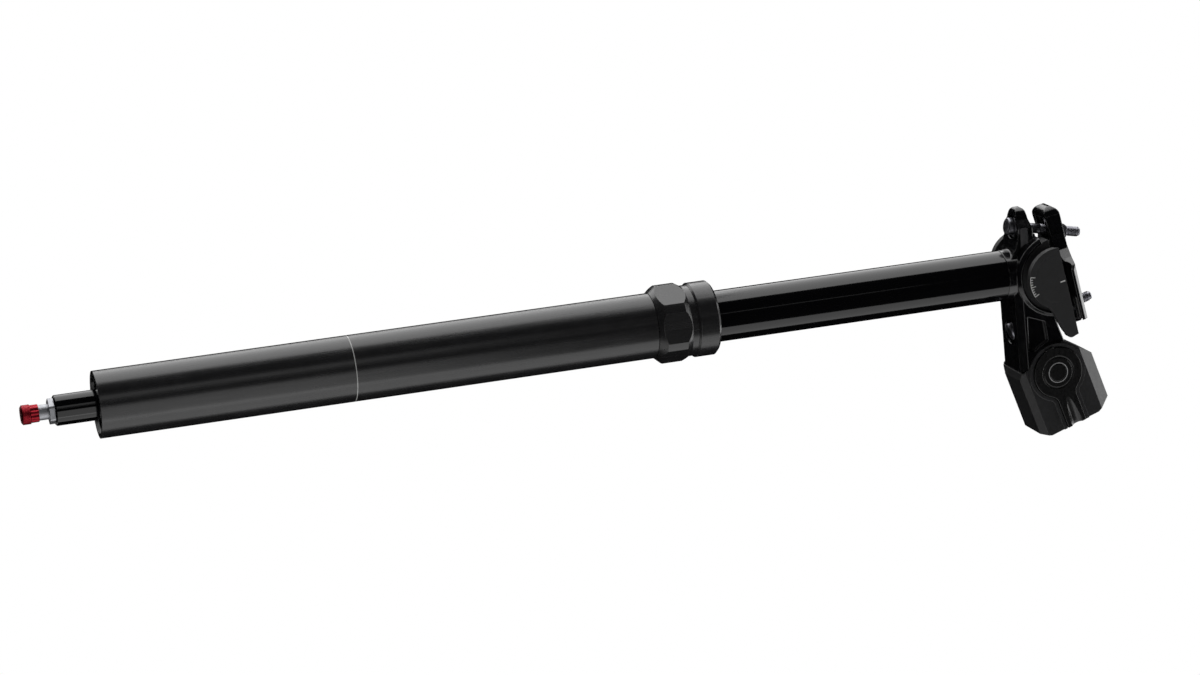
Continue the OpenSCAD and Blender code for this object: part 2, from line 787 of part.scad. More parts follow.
module yoke_nut_seat(u, w) {
    cross_rod(nut_r + 0.05, u, w, -nut_half - 0.1, nut_half + 0.1);
    translate([u - nut_r - 0.05, -nut_half - 0.1, w])
        cube([2 * nut_r + 0.1, 2 * nut_half + 0.2, 10]);
    for (s = [-1.4, 1.4])
        translate([u + s, 0, -1]) cylinder(r = bolt_r + 0.5, h = 22);
    translate([u - 1.4, -bolt_r - 0.5, -1]) cube([2.8, 2 * bolt_r + 1, 22]);
}

module yoke() {
    color("#121213") clamp_frame() difference() {
        union() {
            intersection() {
                along_x(-30, 20) yoke_section();
                linear_extrude(20) yoke_plan();
            }
            intersection() {
                plate(-yoke_arm_half, yoke_arm_half) yoke_arm();
                linear_extrude(20) yoke_arm_plan();
            }
        }
        for (y = [-rail_gap / 2, rail_gap / 2])
            translate([-60, y, rail_w]) rotate([0, 90, 0]) cylinder(r = rail_r, h = 120);
        translate([8, -5, 0]) cube([18, 10, 7.6]);
        translate([front_nut_u, -bolt_way, 7]) cube([bolt_lean_way, 2 * bolt_way, 3.6]);
        yoke_nut_seat(front_nut_u, front_nut_w);
        yoke_nut_seat(rear_nut_u, rear_nut_w);
    }
}

module half_nut() {
    difference() {
        cross_rod(nut_r, 0, 0, -nut_half, nut_half);
        translate([0, 0, -10]) cylinder(r = bolt_r + run_gap, h = 20);
        translate([-10, -10, nut_r - 0.6]) cube([20, 20, 4]);
    }
}

module front_nut() {
    color("#2c2d2f") front_bolt_frame() half_nut();
}

module rear_nut() {
    color("#2c2d2f") rear_bolt_frame() half_nut();
}

module clamp_bolt(tip, total) {
    head_low = tip - total;
    difference() {
        union() {
            translate([0, 0, head_low]) cylinder(r = bolt_head_r, h = bolt_head_h);
            translate([0, 0, head_low + 1]) cylinder(r = bolt_r, h = total - 1.6);
            translate([0, 0, tip - 0.6]) cylinder(r1 = bolt_r, r2 = bolt_r - 0.5, h = 0.6);
        }
        translate([0, 0, head_low - 1]) cylinder(r = 2.3, h = 3.6, $fn = 6);
    }
}

module front_bolt() {
    color("#3b3c3e") front_bolt_frame() clamp_bolt(front_tip, front_bolt_len);
}

module rear_bolt() {
    color("#3b3c3e") rear_bolt_frame() clamp_bolt(rear_tip, rear_bolt_len);
}

module bolt_washer(tip, total) {
    z = tip - total + bolt_head_h;
    pipe(washer_r, bolt_r + fit_gap, z, z + washer_h);
}

module front_washer() {
    color("#4a4b4d") front_bolt_frame() bolt_washer(front_tip, front_bolt_len);
}

module rear_washer() {
    color("#4a4b4d") rear_bolt_frame() bolt_washer(rear_tip, rear_bolt_len);
}

module housing_outline(inset) {
    polygon([[2.9, housing_low + inset], [-27.2 + inset, housing_low + inset],
        [housing_end + inset, housing_low + 4.4], [housing_end + inset, 13],
        [-25.4 + inset, housing_high - inset], [-0.6, housing_high - inset],
        [13.6 - inset, 8.8], [6.6, -16.9 + inset]]);
}

module housing_section() {
    polygon([[-9.4, housing_low], [-housing_y, -15.6], [-housing_y, 15], [-9.4, housing_high],
        [9.4, housing_high], [housing_y, 15], [housing_y, -15.6], [9.4, housing_low]]);
}

module cover_outline(grow) {
    r = cover_r + grow;
    half = cover_tail_w / 2 + grow;
    fillet = fillet_r - grow;
    fillet_p = -sqrt(pow(r + fillet, 2) - pow(half + fillet, 2));
    union() {
        circle(r = r);
        translate([housing_end + 0.2 - grow * 20, -half])
            square([-housing_end - 0.2 + grow * 20, 2 * half]);
        difference() {
            polygon([[0, 0], [fillet_p, half + fillet], [fillet_p, -half - fillet]]);
            for (q = [-half - fillet, half + fillet])
                translate([fillet_p, q]) circle(r = fillet);
        }
    }
}

module arm_space() {
    plate(-recess_y, recess_y) union() {
        arm_side(seam_gap);
        polygon([[-arm_reach - seam_gap, arm_low_rear + 2], [-arm_reach - seam_gap, arm_low - 20],
            [0, arm_low - 20], [0, arm_low + 2]]);
        polygon([[arm_top_rear[0] - seam_gap, arm_top_rear[1]], [0, arm_top_rear[1]],
            [0, pivot_z + 40], [arm_top_rear[0] - seam_gap, pivot_z + 40]]);
        translate([arm_top_rear[0] - seam_gap, arm_low]) square([30, arm_top_rear[1] - arm_low]);
    }
}

module housing_blank(y0, y1) {
    intersection() {
        housing_frame() intersection() {
            union() {
                plate(-housing_y, housing_y) housing_outline(0);
                plate(0, housing_y) circle(r = cheek_r);
            }
            along_x(-60, 60) housing_section();
        }
        translate([-120, y0, head_z - 60]) cube([120, y1 - y0, 120]);
    }
}

module housing() {
    floor_y = recess_y - housing_wall;
    color("#141415") difference() {
        union() {
            housing_blank(lid_y, housing_y);
            housing_frame() plate(recess_y, rim_y) intersection() {
                cover_outline(rim_w);
                union() {
                    housing_outline(0);
                    circle(r = cheek_r);
                }
            }
        }
        arm_space();
        difference() {
            housing_frame() plate(lid_y - 1, floor_y) housing_outline(housing_wall);
            translate([-arm_reach - housing_wall, -30, head_z - 60]) cube([80, 60, 120]);
        }
        housing_frame() {
            plate(recess_y, housing_y + 5) cover_outline(soft_gap);
            cover_hinge(run_gap);
            cross_rod(switch_r + 0.1, 0, 0, board_y, recess_y + 1);
            translate([port_p - 4.2, 0, -4.6]) cube([4.4, recess_y + 1, 9.2]);
        }
        translate([-arm_reach - tongue_len - 0.2, -tongue_half - 0.1, head_z - 15.1])
            cube([tongue_len + 2.2, 2 * tongue_half + 0.2, 6.2]);
        translate([0, wire_y, post_top + 3]) rotate([0, -75, 0])
            cylinder(r = wire_r, h = arm_reach + 6);
        for (y = [-screw_y, screw_y])
            translate([-arm_reach - 4, y, screw_z]) rotate([0, 90, 0])
                cylinder(r = 1.2 + fit_gap, h = 6);
    }
}

module housing_lid() {
    color("#141415") difference() {
        housing_blank(-housing_y, lid_y - gasket_h);
        arm_space();
        housing_frame() for (s = lid_screw_at)
            cross_rod(1.6 + fit_gap, s[0], s[1], -housing_y - 1, -housing_y + 2.4);
    }
}

module lid_gasket() {
    color("#232323") difference() {
        housing_frame() plate(lid_y - gasket_h, lid_y) difference() {
            housing_outline(0.4);
            housing_outline(housing_wall);
        }
        arm_space();
    }
}

module lid_screws() {
    color("#3a3a3c") housing_frame() for (s = lid_screw_at)
        difference() {
            cross_rod(1.6, s[0], s[1], -housing_y - 0.2, -housing_y + 2.4);
            translate([s[0], -housing_y + 0.8, s[1]]) rotate([90, 0, 0])
                cylinder(r = 0.9, h = 2, $fn = 6);
        }
}

module mounting_screws() {
    wall_x = -arm_reach - housing_wall;
    color("#3a3a3c") for (y = [-screw_y, screw_y])
        translate([wall_x, y, screw_z]) rotate([0, 90, 0]) union() {
            translate([0, 0, -1.8]) cylinder(r = 1.9, h = 1.8);
            translate([0, 0, -0.5]) cylinder(r = 1.2, h = housing_wall + 8);
        }
}

module battery() {
    color("#3c5a78") housing_frame() translate([-25, -6.6, -3]) cube([15, 11, 18]);
}

module circuit_board() {
    color("#1f5c34") housing_frame() plate(board_y - 1.2, board_y)
        polygon([[-26, -13], [-12, -15], [-8, -9], [-7, 3], [-6.4, 14], [-22, 17], [-26, 11]]);
}

module charge_port() {
    color("#b0b2b4") housing_frame() translate([port_p - 4, board_y, -4.4])
        cube([4, recess_y - board_y - 0.3, 8.8]);
}

module push_switch() {
    color("#c0c0c0") housing_frame() cross_rod(switch_r, 0, 0, board_y + 0.1, recess_y - 0.2);
}

module cover_hinge(gap) {
    translate([hinge_p, hinge_y, -hinge_half - gap]) cylinder(r = hinge_r + gap, h = 2 * (hinge_half + gap));
}

module rubber_cover() {
    color("#1a1a1b") housing_frame() difference() {
        union() {
            plate(cover_y, cover_out) cover_outline(0);
            cover_hinge(0);
        }
        cross_rod(button_r + soft_gap, 0, 0, 0, 60);
        translate([0, cover_out - step_h, 0]) rotate([-90, 0, 0]) pipe(step_r + step_w, step_r, 0, step_h + 1);
        translate([-cover_r - 1, cover_out + thumb_r, 0]) rotate([0, 0, thumb_lean]) rotate([0, -90, 0])
            cylinder(r = thumb_r, h = 20);
    }
}

module button() {
    color("#151516") housing_frame() cross_rod(button_r, 0, 0, cover_y + 0.7, cover_out);
}

lower_tube();
bottom_plug();
valve_stem();
valve_nut();
valve_core();
valve_pin();
valve_cap();
bottom_bumper();
piston_rod();
main_piston();
piston_ring();
bush_spacer();
top_out_bumper();
upper_bush();
hex_collar();
air_seal();
collar_ring();
wiper_seal();
stanchion();
lower_bush();
keys();
seal_head();
rod_seal();
inner_tube();
floating_piston();
floating_seals();
valve_body();
needle();
drive_screw();
motor();
head();
lower_clamp();
yoke();
front_nut();
rear_nut();
front_bolt();
rear_bolt();
front_washer();
rear_washer();
housing();
housing_lid();
lid_gasket();
lid_screws();
mounting_screws();
battery();
circuit_board();
charge_port();
push_switch();
rubber_cover();
button();
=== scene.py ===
import json
import math

import bmesh
import bpy
from mathutils import Matrix, Vector


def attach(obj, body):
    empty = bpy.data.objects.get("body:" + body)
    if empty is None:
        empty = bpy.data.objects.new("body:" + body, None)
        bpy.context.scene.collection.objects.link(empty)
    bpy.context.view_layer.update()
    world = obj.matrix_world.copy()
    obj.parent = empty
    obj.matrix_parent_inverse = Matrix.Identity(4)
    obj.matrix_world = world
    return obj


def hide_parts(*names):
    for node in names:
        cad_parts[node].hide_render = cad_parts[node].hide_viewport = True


# The dropper seatpost's finishes, printed marks and threads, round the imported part.
# Lengths are in metres, apart from those that a comment gives in mm.

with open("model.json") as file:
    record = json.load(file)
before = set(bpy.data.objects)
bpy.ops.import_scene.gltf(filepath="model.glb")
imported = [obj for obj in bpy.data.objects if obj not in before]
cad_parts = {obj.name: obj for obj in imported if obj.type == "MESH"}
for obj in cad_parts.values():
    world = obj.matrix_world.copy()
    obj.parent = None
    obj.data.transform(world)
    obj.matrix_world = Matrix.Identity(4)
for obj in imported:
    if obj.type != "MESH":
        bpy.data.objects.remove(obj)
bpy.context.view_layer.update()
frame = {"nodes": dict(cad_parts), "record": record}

MM = 0.001

# The line printed round the tube: its height and half its width
DEPTH_LINE = 120 * MM
DEPTH_LINE_HALF = 0.22 * MM

# The clamp's discs: their middle, how far out to each side their faces lie, and the directions along the
# rails and square to them
DISC_MIDDLE = Vector((0.84, 0.0, 470.15)) * MM
DISC_FACE = 25.2 * MM
FACE_ALLOWANCE = 0.1 * MM
CLAMP_TILT = math.radians(11)
ALONG_RAILS = Vector((math.cos(CLAMP_TILT), 0.0, -math.sin(CLAMP_TILT)))
SQUARE_TO_RAILS = Vector((math.sin(CLAMP_TILT), 0.0, math.cos(CLAMP_TILT)))

# The tilt scale printed on the discs: an arc with ticks that reach inwards, and every fourth one longer
SCALE_RADIUS = 14.9 * MM
SCALE_TURN = math.radians(-101.2)
SCALE_SPAN = math.radians(40)
SCALE_TICKS = 9
LONG_TICK_EVERY = 4
ARC_HALF_WIDTH = 0.14 * MM
ARC_OVERRUN = math.radians(0.4)
TICK_HALF_WIDTH = math.radians(0.75)
LONG_TICK_HALF = 1.2 * MM
SHORT_TICK_HALF = 0.6 * MM

# The index line on the discs, and the half round groove under it
INDEX_ALONG = -2.18 * MM
INDEX_ABOVE = 1.71 * MM
INDEX_HALF_WIDTH = 0.3 * MM
INDEX_HALF_LENGTH = 1.3 * MM
GROOVE_RADIUS = 12.1 * MM
GROOVE_HALF_WIDTH = 0.35 * MM
GROOVE_DEPTH = 0.1 * MM

# The knurl on the valve cap: the diamonds round it, their length along it, and where they lie
KNURLS = 28
KNURL_PITCH = 1.3 * MM
KNURL_MIDDLE = -32.3 * MM
KNURL_HALF_LENGTH = 1.7 * MM
KNURL_DEPTH = 0.06 * MM


# Camera

PICTURE_WIDTH = 1200
CAMERA_PLACE = Vector((0.39123, 1.55464, -0.18945))
CAMERA_AIM = Vector((-0.00229, 0.00001, 0.24270))
PICTURE_UP = Vector((0.9687, -0.2072, 0.1368))
FOCAL_PIXELS = 3468.1
SENSOR_WIDTH = 36.0


def facing(back, up_hint):
    """The turn of a camera or lamp that looks away from back, with its top towards up_hint."""
    right = up_hint.cross(back).normalized()
    return Matrix((right, back.cross(right), back)).transposed().to_4x4()


def add_camera():
    """The photograph's view: the post lies along the picture, so the camera is rolled onto its side."""
    data = bpy.data.cameras.new("photo_camera")
    data.sensor_width = SENSOR_WIDTH
    data.lens = FOCAL_PIXELS / PICTURE_WIDTH * SENSOR_WIDTH
    data.clip_start = 0.01
    data.clip_end = 100
    camera = bpy.data.objects.new("photo_camera", data)
    bpy.context.scene.collection.objects.link(camera)
    back = (CAMERA_PLACE - CAMERA_AIM).normalized()
    camera.matrix_world = Matrix.Translation(CAMERA_PLACE) @ facing(back, PICTURE_UP)
    bpy.context.scene.camera = camera


# Lights and stage

TOWARDS_CAMERA = Vector((0.244, 0.970, 0.0))
PICTURE_TOP_SIDE = Vector((0.970, -0.244, 0.0))
HEAD_MIDDLE = Vector((-0.02, 0.0, 0.47))
ABOVE_SADDLE_END = Vector((-0.1, -0.08, 0.99))
DIFFUSE_FILL = 0.35

# The soft boxes beside the post: the height on its axis that each one faces, its turn round the post in
# degrees, its distance from there, its width, its length and its level
POST_LAMPS = {
    "top_soft_box": (1.1, 103, 1.2, 2.1, 0.84, 2.3),
    "top_box_lower_half": (-0.2, 109, 1.2, 1.72, 1.76, 2.3),
    "lower_soft_box": (0.22, -79, 1.2, 0.97, 3.6, 1.2),
    "valve_end_card": (0.17, -38, 1.3, 1.25, 0.6, 1.0),
    "valve_end_strip": (0.17, 19, 1.3, 0.3, 0.6, 0.6),
    "long_strip": (0.5, 7, 1.5, 0.05, 0.9, 0.5),
}

FLOOR_HEIGHT = -0.45
FLOOR_RADIUS = 0.95
FLAG_DISTANCE = 4.0
FLOOR_FLAG_HALF = 0.9
FLOOR_FLAG_PLACE = Vector((0.4, 0.24, FLOOR_HEIGHT + 0.01))


def round_post(turn):
    """The direction at an angle in degrees round the post, from the camera's side to the picture's top."""
    angle = math.radians(turn)
    return TOWARDS_CAMERA * math.cos(angle) + PICTURE_TOP_SIDE * math.sin(angle)


def add_soft_box(name, aim, direction, distance, width, length, level):
    """A soft box that faces aim from the given direction. width runs level and length runs up."""
    data = bpy.data.lights.new(name, "AREA")
    data.shape = "RECTANGLE"
    data.size = width
    data.size_y = length
    data.energy = level * math.pi * width * length
    lamp = bpy.data.objects.new(name, data)
    bpy.context.scene.collection.objects.link(lamp)
    lamp.visible_camera = False
    back = direction.normalized()
    lamp.matrix_world = Matrix.Translation(aim + back * distance) @ facing(back, Vector((0.0, 0.0, 1.0)))


def add_lights():
    """The studio as the photograph's reflections show it."""
    for name, (height, turn, *measures) in POST_LAMPS.items():
        add_soft_box(name, Vector((0.0, 0.0, height)), round_post(turn), *measures)
    add_soft_box("saddle_end_box", HEAD_MIDDLE, ABOVE_SADDLE_END, 0.9, 0.9, 0.9, 2.7)


def add_stage_piece(name, bm, finish):
    """Turns a bmesh into a piece of the studio, which isn't part of the object."""
    mesh = bpy.data.meshes.new(name)
    bm.to_mesh(mesh)
    bm.free()
    mesh.materials.append(finish)
    piece = bpy.data.objects.new(name, mesh)
    bpy.context.scene.collection.objects.link(piece)
    return piece


def add_stage():
    """A pale round floor, and black flags round the set and on the floor that keep the reflections dark."""
    floor = bmesh.new()
    bmesh.ops.create_circle(floor, cap_ends=True, segments=96, radius=FLOOR_RADIUS)
    bmesh.ops.translate(floor, vec=(0.0, 0.0, FLOOR_HEIGHT), verts=floor.verts)
    add_stage_piece("floor", floor, pale_floor())
    cloth = bmesh.new()
    bmesh.ops.create_uvsphere(cloth, u_segments=48, v_segments=24, radius=FLAG_DISTANCE)
    floor_flag = bmesh.ops.create_grid(cloth, x_segments=1, y_segments=1, size=FLOOR_FLAG_HALF)["verts"]
    bmesh.ops.translate(cloth, vec=FLOOR_FLAG_PLACE, verts=floor_flag)
    flags = add_stage_piece("black_flags", cloth, black_cloth())
    flags.visible_camera = False
    flags.visible_diffuse = False
    flags.visible_transmission = False
    flags.visible_shadow = False


def add_world():
    """A white backdrop behind the product, and a dim fill for matt surfaces."""
    world = bpy.data.worlds.new("studio")
    bpy.context.scene.world = world
    world.use_nodes = True
    tree = world.node_tree
    tree.nodes.clear()
    rays = add_node(tree, "ShaderNodeLightPath")
    kinds = ("Is Camera Ray", "Is Transmission Ray", "Is Glossy Ray")
    seen = join_masks(tree, "MAXIMUM", [rays.outputs[kind] for kind in kinds])
    fill = add_node(
        tree,
        "ShaderNodeMath",
        {"operation": "MULTIPLY", 1: DIFFUSE_FILL},
        {0: rays.outputs["Is Diffuse Ray"]},
    )
    studio = add_node(
        tree, "ShaderNodeBackground", {"Color": linear("#ffffff")}, {"Strength": fill.outputs[0]}
    )
    backdrop = add_node(tree, "ShaderNodeBackground", {"Color": linear("#ffffff"), "Strength": 1.0})
    mix = add_node(
        tree, "ShaderNodeMixShader", {}, {0: seen, 1: studio.outputs[0], 2: backdrop.outputs[0]}
    )
    add_node(tree, "ShaderNodeOutputWorld", {}, {"Surface": mix.outputs[0]})


# Material tools

EVEN = (1, 1, 1)


def linear(hex_colour):
    """An sRGB hex colour as linear RGBA."""
    channels = []
    for start in (1, 3, 5):
        value = int(hex_colour[start:start + 2], 16) / 255
        channels.append(value / 12.92 if value <= 0.04045 else ((value + 0.055) / 1.055) ** 2.4)
    return (*channels, 1.0)


def add_node(tree, kind, settings=None, links=None):
    """Adds a node. settings sets its properties and unlinked sockets, and links joins outputs to it."""
    node = tree.nodes.new(kind)
    for key, value in (settings or {}).items():
        if isinstance(key, str) and hasattr(node, key):
            setattr(node, key, value)
        else:
            node.inputs[key].default_value = value
    for key, output in (links or {}).items():
        tree.links.new(output, node.inputs[key])
    return node


def start_material(name, colour, roughness, metallic=0.0, ior=1.5):
    """A material with its shader, and the object's coordinates in metres."""
    material = bpy.data.materials.new(name)
    material.use_nodes = True
    tree = material.node_tree
    tree.nodes.clear()
    shader = add_node(
        tree,
        "ShaderNodeBsdfPrincipled",
        {"Base Color": linear(colour), "Roughness": roughness, "Metallic": metallic, "IOR": ior},
    )
    add_node(tree, "ShaderNodeOutputMaterial", {}, {"Surface": shader.outputs["BSDF"]})
    place = add_node(tree, "ShaderNodeTexCoord")
    return material, tree, shader, place.outputs["Object"]


def open_material(material):
    """The tree, the shader and the object's coordinates of a finished material, for marks on it."""
    tree = material.node_tree
    shader = next(node for node in tree.nodes if node.type == "BSDF_PRINCIPLED")
    place = next(node for node in tree.nodes if node.type == "TEX_COORD")
    return tree, shader, place.outputs["Object"]


def grain(tree, place, size, detail, stretch):
    """A cloudy pattern with patches of the given size, drawn out along each axis where stretch is under 1."""
    stretched = add_node(tree, "ShaderNodeMapping", {"Scale": stretch}, {"Vector": place})
    noise = add_node(
        tree,
        "ShaderNodeTexNoise",
        {"Scale": 1 / size, "Detail": detail},
        {"Vector": stretched.outputs["Vector"]},
    )
    return noise.outputs["Fac"]


def grain_colour(tree, shader, place, size, low, high):
    """Lets the colour wander between two tones in patches of the given size."""
    ramp = add_node(tree, "ShaderNodeValToRGB", {}, {"Fac": grain(tree, place, size, 4.0, EVEN)})
    ramp.color_ramp.elements[0].position = 0.35
    ramp.color_ramp.elements[0].color = linear(low)
    ramp.color_ramp.elements[1].position = 0.65
    ramp.color_ramp.elements[1].color = linear(high)
    tree.links.new(ramp.outputs["Color"], shader.inputs["Base Color"])


def grain_roughness(tree, shader, place, size, low, high, stretch=EVEN):
    """Lets the roughness wander between two values in patches of the given size."""
    spread = add_node(
        tree,
        "ShaderNodeMapRange",
        {"From Min": 0.3, "From Max": 0.7, "To Min": low, "To Max": high},
        {"Value": grain(tree, place, size, 3.0, stretch)},
    )
    tree.links.new(spread.outputs["Result"], shader.inputs["Roughness"])


def grain_bump(tree, shader, place, size, height, edge=0.3 * MM, stretch=EVEN):
    """A fine relief of the given grain size and height, over edges rounded to the given radius."""
    rounding = add_node(tree, "ShaderNodeBevel", {"samples": 8, "Radius": edge})
    bump = add_node(
        tree,
        "ShaderNodeBump",
        {"Strength": 1.0, "Distance": height},
        {"Height": grain(tree, place, size, 2.0, stretch), "Normal": rounding.outputs["Normal"]},
    )
    tree.links.new(bump.outputs["Normal"], shader.inputs["Normal"])


def join_masks(tree, operation, masks):
    """One mask from several: MULTIPLY keeps what lies in all of them, and MAXIMUM what lies in any."""
    joined = masks[0]
    for mask in masks[1:]:
        joined = add_node(tree, "ShaderNodeMath", {"operation": operation}, {0: joined, 1: mask}).outputs[0]
    return joined


def inside(tree, bands):
    """A mask of a mark: 1 where every band's value lies within half its width of its middle."""
    masks = []
    for value, middle, half in bands:
        band = add_node(tree, "ShaderNodeMath", {"operation": "COMPARE", 1: middle, 2: half}, {0: value})
        masks.append(band.outputs[0])
    return join_masks(tree, "MULTIPLY", masks)


def engrave(tree, shader, mask, depth):
    """Sinks the surface by depth wherever mask is 1."""
    under = shader.inputs["Normal"].links[0].from_socket
    bump = add_node(
        tree, "ShaderNodeBump", {"Strength": 1.0, "Distance": -depth}, {"Height": mask, "Normal": under}
    )
    tree.links.new(bump.outputs["Normal"], shader.inputs["Normal"])


def print_mark(tree, shader, mask, colour):
    """Prints a mark in the given colour wherever mask is 1, over the colour that is there."""
    under = shader.inputs["Base Color"].links[0].from_socket
    # A Mix node of colours takes its factor at 0 and its colours at 6 and 7, and gives the result at 2
    mixed = add_node(
        tree, "ShaderNodeMix", {"data_type": "RGBA", 7: linear(colour)}, {0: mask, 6: under}
    )
    tree.links.new(mixed.outputs[2], shader.inputs["Base Color"])


# Materials


def satin_black_anodised(name="satin_black_anodised_aluminium"):
    """Bead-blasted aluminium, dyed black: a fine grain that spreads each light into a soft band."""
    material, tree, shader, place = start_material(name, "#141415", 0.25, ior=1.6)
    grain_colour(tree, shader, place, 6 * MM, "#131314", "#171718")
    grain_roughness(tree, shader, place, 1.2 * MM, 0.22, 0.28, stretch=(1, 1, 0.05))
    grain_bump(tree, shader, place, 0.35 * MM, 0.004 * MM)
    return material


def marked_lower_tube():
    """The same satin finish, with a thin pale line printed round it at the least depth in the frame."""
    material = satin_black_anodised("satin_black_anodised_tube_with_depth_line")
    tree, shader, place = open_material(material)
    axes = add_node(tree, "ShaderNodeSeparateXYZ", {}, {"Vector": place})
    line = inside(tree, [(axes.outputs["Z"], DEPTH_LINE, DEPTH_LINE_HALF)])
    print_mark(tree, shader, line, "#8d8d8c")
    return material


def gloss_hard_anodised():
    """Ground and polished hard anodising: nearly a mirror, with faint lines from the grinding."""
    material, tree, shader, place = start_material("gloss_black_hard_anodised_tube", "#050506", 0.09)
    grain_roughness(tree, shader, place, 0.8 * MM, 0.07, 0.11, stretch=(0.04, 0.04, 1))
    grain_bump(tree, shader, place, 0.5 * MM, 0.0006 * MM, stretch=(0.03, 0.03, 1))
    return material


def polished_black_forging():
    """Forged, tumbled, polished and black anodised aluminium: glossy, with a slow ripple from the die."""
    material, tree, shader, place = start_material("polished_black_forging", "#060607", 0.16, ior=1.6)
    grain_colour(tree, shader, place, 5 * MM, "#050506", "#08080a")
    grain_roughness(tree, shader, place, 2.5 * MM, 0.13, 0.2)
    grain_bump(tree, shader, place, 3.5 * MM, 0.02 * MM, edge=0.7 * MM)
    return material


def tilt_scale(tree, radius, turn):
    """A mask of the tilt scale: an arc, and ticks that reach inwards from it."""
    arc_half = SCALE_SPAN / 2 + ARC_OVERRUN
    marks = [inside(tree, [(radius, SCALE_RADIUS, ARC_HALF_WIDTH), (turn, SCALE_TURN, arc_half)])]
    for tick in range(SCALE_TICKS):
        turn_there = SCALE_TURN + SCALE_SPAN * (tick / (SCALE_TICKS - 1) - 0.5)
        half = SHORT_TICK_HALF if tick % LONG_TICK_EVERY else LONG_TICK_HALF
        marks.append(inside(tree, [(turn, turn_there, TICK_HALF_WIDTH), (radius, SCALE_RADIUS - half, half)]))
    return join_masks(tree, "MAXIMUM", marks)


def matt_grey_coating():
    """Electro-coated aluminium: an even dark grey film with no gloss, and print and a groove on its discs."""
    material, tree, shader, place = start_material("matt_grey_coated_aluminium_with_scale", "#111112", 0.6)
    grain_colour(tree, shader, place, 4 * MM, "#0f0f10", "#131315")
    grain_roughness(tree, shader, place, 1.0 * MM, 0.55, 0.65)
    grain_bump(tree, shader, place, 0.4 * MM, 0.01 * MM)
    from_middle = add_node(
        tree, "ShaderNodeVectorMath", {"operation": "SUBTRACT", 1: DISC_MIDDLE}, {0: place}
    ).outputs["Vector"]
    axes = add_node(tree, "ShaderNodeSeparateXYZ", {}, {"Vector": from_middle})
    side = add_node(tree, "ShaderNodeMath", {"operation": "ABSOLUTE"}, {0: axes.outputs["Y"]})
    level = add_node(
        tree, "ShaderNodeVectorMath", {"operation": "MULTIPLY", 1: (1, 0, 1)}, {0: from_middle}
    )
    radius = add_node(
        tree, "ShaderNodeVectorMath", {"operation": "LENGTH"}, {0: level.outputs["Vector"]}
    ).outputs["Value"]
    turn = add_node(
        tree, "ShaderNodeMath", {"operation": "ARCTAN2"}, {0: axes.outputs["Z"], 1: axes.outputs["X"]}
    ).outputs[0]
    rail_way, square_way = (
        add_node(
            tree, "ShaderNodeVectorMath", {"operation": "DOT_PRODUCT", 1: direction}, {0: from_middle}
        ).outputs["Value"]
        for direction in (ALONG_RAILS, SQUARE_TO_RAILS)
    )
    face = inside(tree, [(side.outputs[0], DISC_FACE, FACE_ALLOWANCE)])
    index = inside(
        tree,
        [(rail_way, INDEX_ALONG, INDEX_HALF_WIDTH), (square_way, INDEX_ABOVE, INDEX_HALF_LENGTH)],
    )
    printed = [join_masks(tree, "MAXIMUM", [tilt_scale(tree, radius, turn), index]), face]
    print_mark(tree, shader, join_masks(tree, "MULTIPLY", printed), "#a9a9a7")
    below = add_node(tree, "ShaderNodeMath", {"operation": "LESS_THAN", 1: 0.0}, {0: square_way})
    groove = [inside(tree, [(radius, GROOVE_RADIUS, GROOVE_HALF_WIDTH)]), face, below.outputs[0]]
    engrave(tree, shader, join_masks(tree, "MULTIPLY", groove), GROOVE_DEPTH)
    return material


def moulded_nylon():
    """Glass-filled nylon from a spark-eroded mould: a fine even grain that dulls the reflections."""
    material, tree, shader, place = start_material("moulded_black_nylon", "#151516", 0.42)
    grain_colour(tree, shader, place, 3 * MM, "#131314", "#18181a")
    grain_roughness(tree, shader, place, 1.5 * MM, 0.38, 0.46)
    grain_bump(tree, shader, place, 0.4 * MM, 0.008 * MM)
    return material


def moulded_rubber(name, dark, light, roughness):
    """Moulded rubber: deep black, with a soft skin that shows a faint cloudy bloom."""
    material, tree, shader, place = start_material(name, dark, roughness)
    grain_colour(tree, shader, place, 2.5 * MM, dark, light)
    grain_roughness(tree, shader, place, 1.5 * MM, roughness - 0.04, roughness + 0.05)
    grain_bump(tree, shader, place, 0.5 * MM, 0.003 * MM, edge=0.6 * MM)
    return material


def pocket_wall_painted_reflection():
    """A forged pocket's wall in black anodised aluminium, rougher than the forging round it; its light grey
    colour is a painted reflection.
    """
    # The grey base colour and its grain stand in for light reflected in the pocket's wall: painted
    # reflection, far lighter than the black forging.
    material, tree, shader, place = start_material("black_anodised_with_painted_reflection", "#3c3c3e", 0.42, ior=1.6)
    grain_colour(tree, shader, place, 1.5 * MM, "#38383a", "#404042")
    grain_roughness(tree, shader, place, 0.8 * MM, 0.38, 0.48)
    grain_bump(tree, shader, place, 0.3 * MM, 0.01 * MM)
    return material


def grey_silicone():
    """Moulded grey silicone: a satin skin, lighter than the cover round it."""
    material, tree, shader, place = start_material("grey_silicone_ring", "#7c7c7d", 0.4)
    grain_colour(tree, shader, place, 2 * MM, "#757576", "#838384")
    grain_bump(tree, shader, place, 0.5 * MM, 0.003 * MM)
    return material


def black_oxide_steel():
    """Blackened steel fasteners: a dark metal that still shows its turning marks."""
    material, tree, shader, place = start_material("black_oxide_steel", "#8a8a90", 0.34, metallic=1.0)
    grain_colour(tree, shader, place, 1.5 * MM, "#808086", "#94949a")
    grain_roughness(tree, shader, place, 0.8 * MM, 0.28, 0.4)
    grain_bump(tree, shader, place, 0.4 * MM, 0.008 * MM, stretch=(0.2, 0.2, 1))
    return material


def turned_metal(name, low, high, roughness):
    """A turned metal part: bright, with fine lines round it from the lathe."""
    material, tree, shader, place = start_material(name, high, roughness, metallic=1.0)
    grain_colour(tree, shader, place, 2 * MM, low, high)
    grain_roughness(tree, shader, place, 1.0 * MM, roughness - 0.05, roughness + 0.07)
    grain_bump(tree, shader, place, 0.3 * MM, 0.004 * MM, stretch=(0.1, 0.1, 1))
    return material


